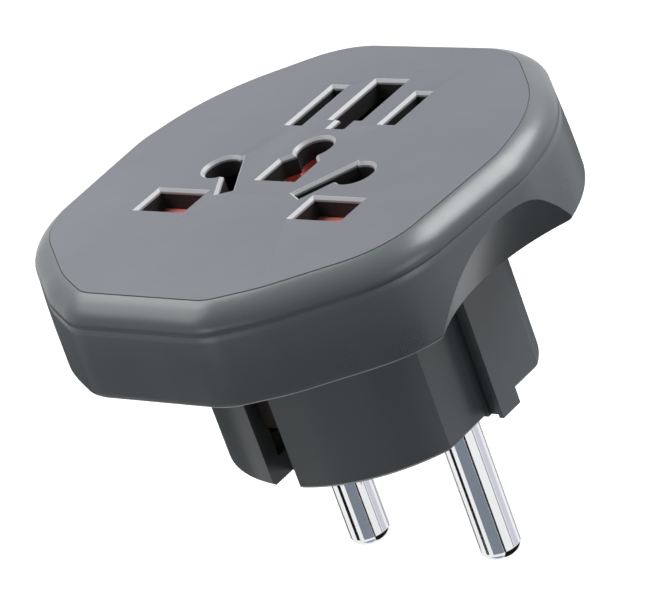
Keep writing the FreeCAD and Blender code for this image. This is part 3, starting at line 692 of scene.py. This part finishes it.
@dataclass
class HeadShell:
    """The moulded head: a soft shoulder round the face, a flared wall and two finger rests.

    The outside follows the outer scallop, and the cavity follows the inner one.
    """

    plan: Plan = Plan()
    face_height: float = 30.2
    foot_height: float = 18.7
    plate_depth: float = 0.6
    groove: float = 0.05
    rim_drop: float = 0.08
    shoulder: tuple[Pair, ...] = ((0.13, 0.07), (1.0, 0.36), (2.78, 1.70), (2.50, 2.9))
    shoulder_steps: int = 14
    seam: tuple[Pair, ...] = ((-0.07, 0.14), (-0.07, 0.19))
    wall_offset: float = 2.9
    wall_shares: tuple[float, ...] = (0.05, 0.12, 0.2, 0.35, 0.5, 0.75, 0.97)
    wall: float = 2.0
    top_wall: float = 2.0
    ledge: float = 2.0
    foot: float = 0.5
    foot_turns: tuple[int, ...] = (0, 30, 60, 90)
    flange_lip: float = 0.3
    flange: float = 2.0
    outer: Scallop = Scallop(29.0, -2.7, 3.75, 4.5)
    inner: Scallop = Scallop(20.5, -2.8, 4.1, 4.2)
    tool_sides: int = 240
    tool_length: float = 90.0
    overrun: float = 1.0
    merge: float = 0.004
    sliver: float = 0.002
    sharp: float = 24.0
    crease_band: float = 0.01
    edge: float = 0.16
    edge_angle: float = 32.0

    def profile(self) -> list[Pair]:
        """The outside, from the groove over the shoulder and down the wall to the foot.

        Returns:
            Rings of (offset outwards, height).
        """
        knots = [Vector(knot) for knot in self.shoulder]
        curve = interpolate_bezier(*knots, self.shoulder_steps)
        reach, drop = self.shoulder[-1]
        crease = self.face_height - drop
        foot = self.foot_height + self.foot
        rings = [(self.groove, self.face_height - self.rim_drop)]
        rings += [(point.x, self.face_height - point.y) for point in curve]
        rings += [(reach + offset, crease - depth) for offset, depth in self.seam]
        for share in self.wall_shares:
            flare = (self.wall_offset - reach) * (1 - (1 - share) ** 2)
            rings.append((reach + flare, crease + (foot - crease) * share))
        for turn in self.foot_turns:
            angle = math.radians(turn)
            inset = self.foot * (1 - math.cos(angle))
            rings.append((self.wall_offset - inset, foot - self.foot * math.sin(angle)))
        return rings

    def scallops(self, shape: Scallop, clearance: float = 0.0) -> list[bpy.types.Object]:
        """The two tilted cylinders that scoop the finger rests.

        Args:
            shape: The scallop's sizes.
            clearance: How much larger the cylinders are.

        Returns:
            The left and the right cylinder.
        """
        top = self.face_height - shape.drop
        side_x = max(corner.x for corner in self.plan.corners) + self.wall_offset
        slope = Vector((shape.depth, 0, top - self.foot_height)).normalized()
        outward = Vector((slope.z, 0, -slope.x))
        centre = Vector((side_x, shape.y, top)) + outward * shape.radius
        radius = (shape.radius + clearance) * MM
        tools = []
        for side in Side:
            built = bmesh.new()
            bmesh.ops.create_cone(built, cap_ends=True, segments=self.tool_sides,
                                  radius1=radius, radius2=radius, depth=self.tool_length * MM)
            turn = UP.rotation_difference(Vector((side.value * slope.x, 0, slope.z)))
            place = Vector((side.value * centre.x, centre.y, centre.z)) * MM
            matrix = Matrix.Translation(place) @ turn.to_matrix().to_4x4()
            bmesh.ops.transform(built, matrix=matrix, verts=built.verts)
            tools.append(from_bmesh(f"scallop_{side.name.lower()}", built))
        return tools

    def build(self, materials: Materials) -> None:
        """Makes the shell as a solid less its cavity, its mouth and the finger rests.

        Args:
            materials: The materials by slot.
        """
        above, below = self.face_height + self.overrun, self.foot_height - self.overrun
        seat = self.face_height - self.plate_depth
        ceiling = seat - self.top_wall
        step_top = self.foot_height + self.flange_lip + self.flange
        inside = self.wall_offset - self.wall
        lip = inside + self.flange_lip
        shell = self.plan.solid("HeadHousing", self.profile())
        cavity = self.plan.solid("cavity", [(inside, ceiling), (inside, below)])
        cut(cavity, self.scallops(self.inner, self.wall))
        step = self.plan.solid("step", [(lip, step_top), (lip, below)])
        cut(step, self.scallops(self.inner, self.wall - self.flange_lip))
        mouth_rings = [(-self.ledge, above), (-self.ledge, ceiling - self.overrun)]
        mouth = self.plan.solid("mouth", mouth_rings)
        recess = self.plan.solid("recess", [(self.groove, above), (self.groove, seat)])
        cut(shell, [cavity, step, mouth, recess, *self.scallops(self.outer)])
        self.mark(shell)
        soften_edges(shell, self.edge, self.edge_angle)
        dress(shell, "adapter", Slot.SHELL, materials, ["head_shell"])

    def mark(self, shell: bpy.types.Object) -> None:
        """Joins stray vertices, shades the shell and keeps the crease under the shoulder crisp.

        Args:
            shell: The shell after its cuts.
        """
        built = bmesh.new()
        built.from_mesh(shell.data)
        bmesh.ops.remove_doubles(built, verts=built.verts, dist=self.merge * MM)
        bmesh.ops.dissolve_degenerate(built, dist=self.sliver * MM, edges=built.edges)
        smooth_by_angle(built, self.sharp)
        crease = (self.face_height - self.shoulder[-1][1]) * MM
        for edge in built.edges:
            if all(abs(vert.co.z - crease) < self.crease_band * MM for vert in edge.verts):
                edge.smooth = False
        built.to_mesh(shell.data)
        built.free()


@dataclass
class SocketFront:
    """The face plate, the guide plate under it and the sliding shutter."""

    plate_edge: float = 0.06
    insert_edge: float = 0.12
    shutter_edge: float = 0.15
    rim_reach: float = 21.5
    flat_from: float = 0.95

    def build(self, frame: Mapping[str, Any], materials: Materials) -> None:
        """Dresses merged copies of the three nodes with softened edges.

        Args:
            frame: The loaded frame.
            materials: The materials by slot.
        """
        jobs = (("FacePlate", "face_plate", "adapter", Slot.FACE, self.plate_edge),
                ("SocketInsert", "socket_insert", "adapter", Slot.INNER, self.insert_edge),
                ("Shutter", "shutter", "slider", Slot.SHUTTER, self.shutter_edge))
        for name, node, body, slot, edge in jobs:
            piece = merged_copy(frame["nodes"][node], name)
            soften_edges(piece, edge)
            dress(piece, body, slot, materials, [node])
            # The face plate's openings get a painted highlight on their chamfers and walls
            if slot is Slot.FACE:
                self.paint_rim_highlights(piece.data)

    def paint_rim_highlights(self, mesh: bpy.types.Mesh) -> None:
        """Paints the highlight that the chamfers and walls of the openings catch, with a second,
        light grey material.

        Args:
            mesh: The face plate's mesh.
        """
        mesh.materials.append(RIM_PAINTED_HIGHLIGHT.build())
        for face in mesh.polygons:
            inside = face.center.xy.length < self.rim_reach * MM
            face.material_index = int(inside and abs(face.normal.z) < self.flat_from)


@dataclass
class ReturnSprings:
    """The two coil springs that push the shutter home."""

    x: float = 6.4
    front_y: float = -24.05
    length: float = 7.2
    height: float = 26.75
    coil_radius: float = 0.775
    wire_radius: float = 0.16
    wire_sides: int = 8
    turns: int = 9
    turn_steps: int = 20
    sharp: float = 50.0
    keep: float = 0.33

    def build(self, materials: Materials) -> None:
        """Winds each spring and gives it a mesh of its own.

        Args:
            materials: The materials by slot.
        """
        for side in Side:
            name = side.name.lower()
            spring = self.wind(f"ReturnSpring_{name}", side)
            dress(spring, "adapter", Slot.SPRING, materials, [f"shutter_spring_{name}"])
            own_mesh(spring)

    def wind(self, name: str, side: Side) -> bpy.types.Object:
        """Spins a small circle round the coil's axis.

        Args:
            name: The spring's name.
            side: The side that it lies on.

        Returns:
            The spring's object.
        """
        built = bmesh.new()
        first_y = self.front_y + self.wire_radius
        centre = Vector((side.value * self.x, first_y, self.height)) * MM
        start = centre + Vector((self.coil_radius * MM, 0, 0))
        wire = bmesh.ops.create_circle(built, cap_ends=False, segments=self.wire_sides,
                                       radius=self.wire_radius * MM)
        bmesh.ops.translate(built, verts=wire["verts"], vec=start)
        rise = (self.length - 2 * self.wire_radius) * MM
        steps = self.turns * self.turn_steps
        bmesh.ops.spin(built, geom=built.edges[:], cent=centre, axis=(0, 1, 0),
                       dvec=(0, rise / steps, 0), angle=2 * math.pi * self.turns, steps=steps)
        ends = [edge for edge in built.edges if edge.is_boundary]
        bmesh.ops.holes_fill(built, edges=ends, sides=self.wire_sides)
        bmesh.ops.recalc_face_normals(built, faces=built.faces)
        smooth_by_angle(built, self.sharp)
        return from_bmesh(name, built)


# The plug


@dataclass
class PlugPins:
    """The two turned pins with their roots, collars and riveted stems."""

    x: float = 9.5
    radius: float = 2.4
    length: float = 19.3
    tip: float = 1.2
    tip_steps: int = 12
    tip_ring: float = 0.05
    root_ring: float = 0.12
    root_step: float = 0.1
    root_radius: float = 2.68
    floor: float = 2.6
    collar_radius: float = 3.75
    collar: float = 1.2
    stem_radius: float = 1.7
    strip_height: float = 9.4
    strip: float = 0.8
    neck_radius: float = 1.04
    head_radius: float = 1.8
    head: float = 0.6
    head_share: float = 0.8
    sides: int = 72
    merge: float = 0.002
    sharp: float = 35.0

    def outline(self) -> list[Pair]:
        """The pin's half section, from the tip to the riveted head.

        Returns:
            Points of (radius, height).
        """
        turns = [math.radians(step * 90 / self.tip_steps) for step in range(self.tip_steps + 1)]
        tip = [(self.radius - self.tip * (1 - math.sin(turn)),
                self.tip * (1 - math.cos(turn)) - self.length) for turn in turns]
        shank = [(self.radius, self.tip - self.length + self.tip_ring),
                 (self.radius, -self.root_ring), (self.radius - self.root_step, 0.0),
                 (self.root_radius, 0.0), (self.root_radius, self.floor)]
        collar_top = self.floor + self.collar
        strip_top = self.strip_height + self.strip
        stem = [(self.collar_radius, self.floor), (self.collar_radius, collar_top),
                (self.stem_radius, collar_top), (self.stem_radius, self.strip_height),
                (self.neck_radius, self.strip_height), (self.neck_radius, strip_top)]
        shoulder = (self.head_radius * self.head_share, strip_top + self.head * self.head_share)
        head = [(self.head_radius, strip_top), shoulder, (0.0, strip_top + self.head)]
        return [(0.0, -self.length), *tip, *shank, *stem, *head]

    def build(self, materials: Materials) -> None:
        """Spins both pins.

        Args:
            materials: The materials by slot.
        """
        for side in Side:
            built = bmesh.new()
            points = [built.verts.new(Vector((radius, 0, height)) * MM)
                      for radius, height in self.outline()]
            edges = [built.edges.new(pair) for pair in zip(points, points[1:])]
            bmesh.ops.spin(built, geom=points + edges, cent=(0, 0, 0), axis=UP,
                           angle=2 * math.pi, steps=self.sides, use_merge=True)
            bmesh.ops.remove_doubles(built, verts=built.verts, dist=self.merge * MM)
            bmesh.ops.recalc_face_normals(built, faces=built.faces)
            smooth_by_angle(built, self.sharp)
            bmesh.ops.translate(built, verts=built.verts, vec=(side.value * self.x * MM, 0, 0))
            word = side.name.lower()
            pin = from_bmesh(f"PlugPin_{word}", built)
            dress(pin, "adapter", Slot.PIN, materials, [f"plug_pin_{word}"])


@dataclass
class PlugBody:
    """The round plug body, its screws and its side earth leaves."""

    edge: float = 0.14
    screw_edge: float = 0.12
    leaf_edge: float = 0.1

    def build(self, frame: Mapping[str, Any], materials: Materials) -> None:
        """Dresses merged copies of the nodes with softened edges.

        Args:
            frame: The loaded frame.
            materials: The materials by slot.
        """
        jobs = (("PlugBase", "plug_base", Slot.SHELL, self.edge),
                ("HousingScrews", "housing_screws", Slot.SCREW, self.screw_edge),
                # The earth leaves take the near-black metal that paints the shade in their slots
                ("EarthClipFront", "earth_clip_front", Slot.DARK, self.leaf_edge),
                ("EarthClipRear", "earth_clip_rear", Slot.DARK, self.leaf_edge))
        for name, node, slot, edge in jobs:
            piece = merged_copy(frame["nodes"][node], name)
            soften_edges(piece, edge)
            dress(piece, "adapter", slot, materials, [node])


class InnerWorks:
    """The carrier, strips, clips and small fasteners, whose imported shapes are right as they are."""

    def build(self, frame: Mapping[str, Any], materials: Materials) -> None:
        """Puts the finish of its slot on every node that is still shown.

        Args:
            frame: The loaded frame.
            materials: The materials by slot.
        """
        parts = frame["record"]["subparts"]
        by_node = {part["node"]: Slot(part["material_slot"]) for part in parts}
        for name, node in frame["nodes"].items():
            if node.hide_render:
                continue
            for slot in node.material_slots:
                slot.material = materials[by_node[name]]
            LOG.info("%s keeps its packed shape, as %s", name, by_node[name].value)


# The studio


def direction(azimuth: float, elevation: float = 0.0) -> Vector:
    """The way from the object to a place round it.

    Args:
        azimuth: Degrees from the front, towards the right.
        elevation: Degrees above the level.

    Returns:
        The unit vector.
    """
    turn, rise = math.radians(azimuth), math.radians(elevation)
    level = math.cos(rise)
    return Vector((math.sin(turn) * level, -math.cos(turn) * level, math.sin(rise)))


@dataclass(frozen=True)
class Lamp:
    """One soft rectangular lamp, aimed at the object."""

    name: str
    azimuth: float
    elevation: float
    distance: float
    width: float
    height: float
    power: float

    def build(self, aim: Vector) -> None:
        """Places the lamp.

        Args:
            aim: The point that it looks at.
        """
        light = bpy.data.lights.new(self.name, "AREA")
        light.shape = "RECTANGLE"
        light.size = self.width
        light.size_y = self.height
        light.energy = self.power
        holder = bpy.data.objects.new(self.name, light)
        away = direction(self.azimuth, self.elevation)
        holder.location = aim + away * self.distance
        holder.rotation_euler = (-away).to_track_quat("-Z", "Y").to_euler()
        bpy.context.scene.collection.objects.link(holder)


@dataclass(frozen=True)
class Flag:
    """A card round or under the object that only reflections see, as a studio has for metal."""

    name: str
    azimuths: Pair
    level: Triple
    distances: Pair = (0.13, 0.13)
    heights: Pair = (-0.094, -0.058)
    steps: int = 16
    unseen: tuple[str, ...] = ("camera", "diffuse", "transmission", "volume_scatter", "shadow")

    def build(self, aim: Vector) -> None:
        """Spins the card's foot and head round the object.

        Args:
            aim: The point that it stands round.
        """
        first, last = self.azimuths
        away = direction(first)
        built = bmesh.new()
        foot, head = (built.verts.new(Vector((aim.x, aim.y, height)) + away * distance)
                      for distance, height in zip(self.distances, self.heights))
        side = built.edges.new((foot, head))
        bmesh.ops.spin(built, geom=[foot, head, side], cent=aim, axis=UP,
                       angle=math.radians(last - first), steps=self.steps)
        card = from_bmesh(self.name, built)
        shader = Shader(self.name)
        shader.finish(shader.glow(self.level, 1.0))
        card.data.materials.append(shader.material)
        for ray in self.unseen:
            setattr(card, f"visible_{ray}", False)


@dataclass
class Studio:
    """A pale floor, soft lamps, cards for reflections, a white surround and the camera."""

    place: Triple = (0.336144, -0.319192, 0.230931)
    target: Triple = (-0.0011566, -0.0018182, 0.0143370)
    roll: float = -20.265
    lens: float = 261.434
    sensor: float = 36.0
    clip: Pair = (0.01, 20.0)
    ambient: float = 0.02
    floor_height: float = -0.095
    floor_size: float = 4.0
    floor_grey: Triple = (0.82, 0.82, 0.82)
    floor_glow: float = 0.45
    bounce_grey: Triple = (0.25, 0.25, 0.25)
    lamps: tuple[Lamp, ...] = (
        Lamp("LampRight", 153.0, 42.0, 0.7, 0.46, 0.34, 5.8),
        Lamp("LampLeft", -54.0, 47.0, 0.5, 0.28, 0.30, 0.84),
        Lamp("LampTop", -60.0, 80.0, 0.45, 0.3, 0.3, 0.08),
        Lamp("LampNear", -100.0, 55.0, 0.28, 0.2, 0.2, 0.52),
        Lamp("LampSide", 92.0, 10.0, 0.6, 0.3, 0.3, 0.62),
        Lamp("LampFront", -5.0, 2.0, 0.6, 0.3, 0.2, 0.5))
    flags: tuple[Flag, ...] = (
        Flag("FlagFarLeft", (-97.0, -84.0), (0.02, 0.02, 0.02)),
        Flag("FlagLeft", (-47.0, -27.0), (0.01, 0.01, 0.01)),
        Flag("FlagFront", (-3.0, 55.0), (0.22, 0.25, 0.30)),
        Flag("FlagEdge", (56.0, 66.0), (0.03, 0.03, 0.03)),
        Flag("FlagLine", (107.0, 113.0), (0.35, 0.36, 0.40)),
        Flag("FlagRight", (117.0, 150.0), (0.70, 0.70, 0.78)),
        Flag("FlagFarRight", (176.0, 187.0), (0.30, 0.30, 0.33)),
        Flag("FlagLastRight", (190.0, 206.0), (0.60, 0.60, 0.63)),
        Flag("CardLeft", (-178.0, -70.0), (0.06, 0.06, 0.06), heights=(-0.069, -0.010)),
        Flag("CardFront", (-69.0, 80.0), (0.20, 0.21, 0.23), heights=(-0.040, -0.010)),
        Flag("CardMiddle", (42.0, 84.0), (0.25, 0.26, 0.28), heights=(-0.057, -0.0405)),
        Flag("CardBack", (148.0, 193.0), (0.50, 0.52, 0.56), heights=(-0.057, -0.010)),
        Flag("FlagUnderFront", (-40.0, 52.0), (0.30, 0.32, 0.37),
             (0.010, 0.055), (-0.094, -0.094)),
        Flag("FlagUnderRight", (60.0, 172.0), (0.01, 0.01, 0.01),
             (0.012, 0.125), (-0.0935, -0.0935)))

    def build(self) -> None:
        """Sets the whole studio."""
        aim = Vector(self.target)
        for fitting in (*self.lamps, *self.flags):
            fitting.build(aim)
        self.set_camera(aim)
        self.set_world()
        self.lay_floor()
        bpy.context.scene.view_settings.view_transform = "Standard"

    def set_camera(self, aim: Vector) -> None:
        """Aims the camera and rolls it as the photograph is rolled.

        Args:
            aim: The point at the picture's middle.
        """
        camera = bpy.data.cameras.new("Camera")
        camera.lens = self.lens
        camera.sensor_width = self.sensor
        camera.clip_start, camera.clip_end = self.clip
        holder = bpy.data.objects.new("Camera", camera)
        holder.location = Vector(self.place)
        look = (aim - holder.location).to_track_quat("-Z", "Y")
        holder.rotation_mode = "QUATERNION"
        holder.rotation_quaternion = look @ Quaternion(UP, math.radians(self.roll))
        bpy.context.scene.collection.objects.link(holder)
        bpy.context.scene.camera = holder

    def set_world(self) -> None:
        """A white surround for what is seen, and a plain level for what it lights."""
        world = bpy.data.worlds.new("World")
        world.use_nodes = True
        bpy.context.scene.world = world
        graph = Graph(world.node_tree, "ShaderNodeOutputWorld")
        level, seen = (graph.node("ShaderNodeBackground", {"Color": WHITE, "Strength": strength})
                       for strength in (self.ambient, 1.0))
        graph.finish(graph.choose(graph.seen_directly(), level, seen))

    def lay_floor(self) -> None:
        """A wide pale floor that looks white and still takes the object's shadow."""
        built = bmesh.new()
        bmesh.ops.create_grid(built, x_segments=1, y_segments=1, size=self.floor_size)
        bmesh.ops.translate(built, verts=built.verts, vec=(0, 0, self.floor_height))
        floor = from_bmesh("Floor", built)
        shader = Shader("FloorPale")
        sockets = {0: shader.matt(self.floor_grey), 1: shader.glow(WHITE, self.floor_glow)}
        lifted = shader.node("ShaderNodeAddShader", sockets)
        seen = shader.choose(shader.seen_in_gloss(), lifted, shader.glow(WHITE, 1.0))
        bounce = shader.matt(self.bounce_grey)
        shader.finish(shader.choose(shader.seen_directly(), bounce, seen))
        floor.data.materials.append(shader.material)


def main() -> None:
    """Loads the frame, dresses every sub-assembly and sets the studio."""
    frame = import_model()
    materials = {slot: finish.build() for slot, finish in FINISHES.items()}
    HeadShell().build(materials)
    SocketFront().build(frame, materials)
    ReturnSprings().build(materials)
    PlugPins().build(materials)
    PlugBody().build(frame, materials)
    InnerWorks().build(frame, materials)
    Studio().build()


if __name__ == "__main__":
    logging.basicConfig(level=logging.INFO, format="%(message)s")
    main()
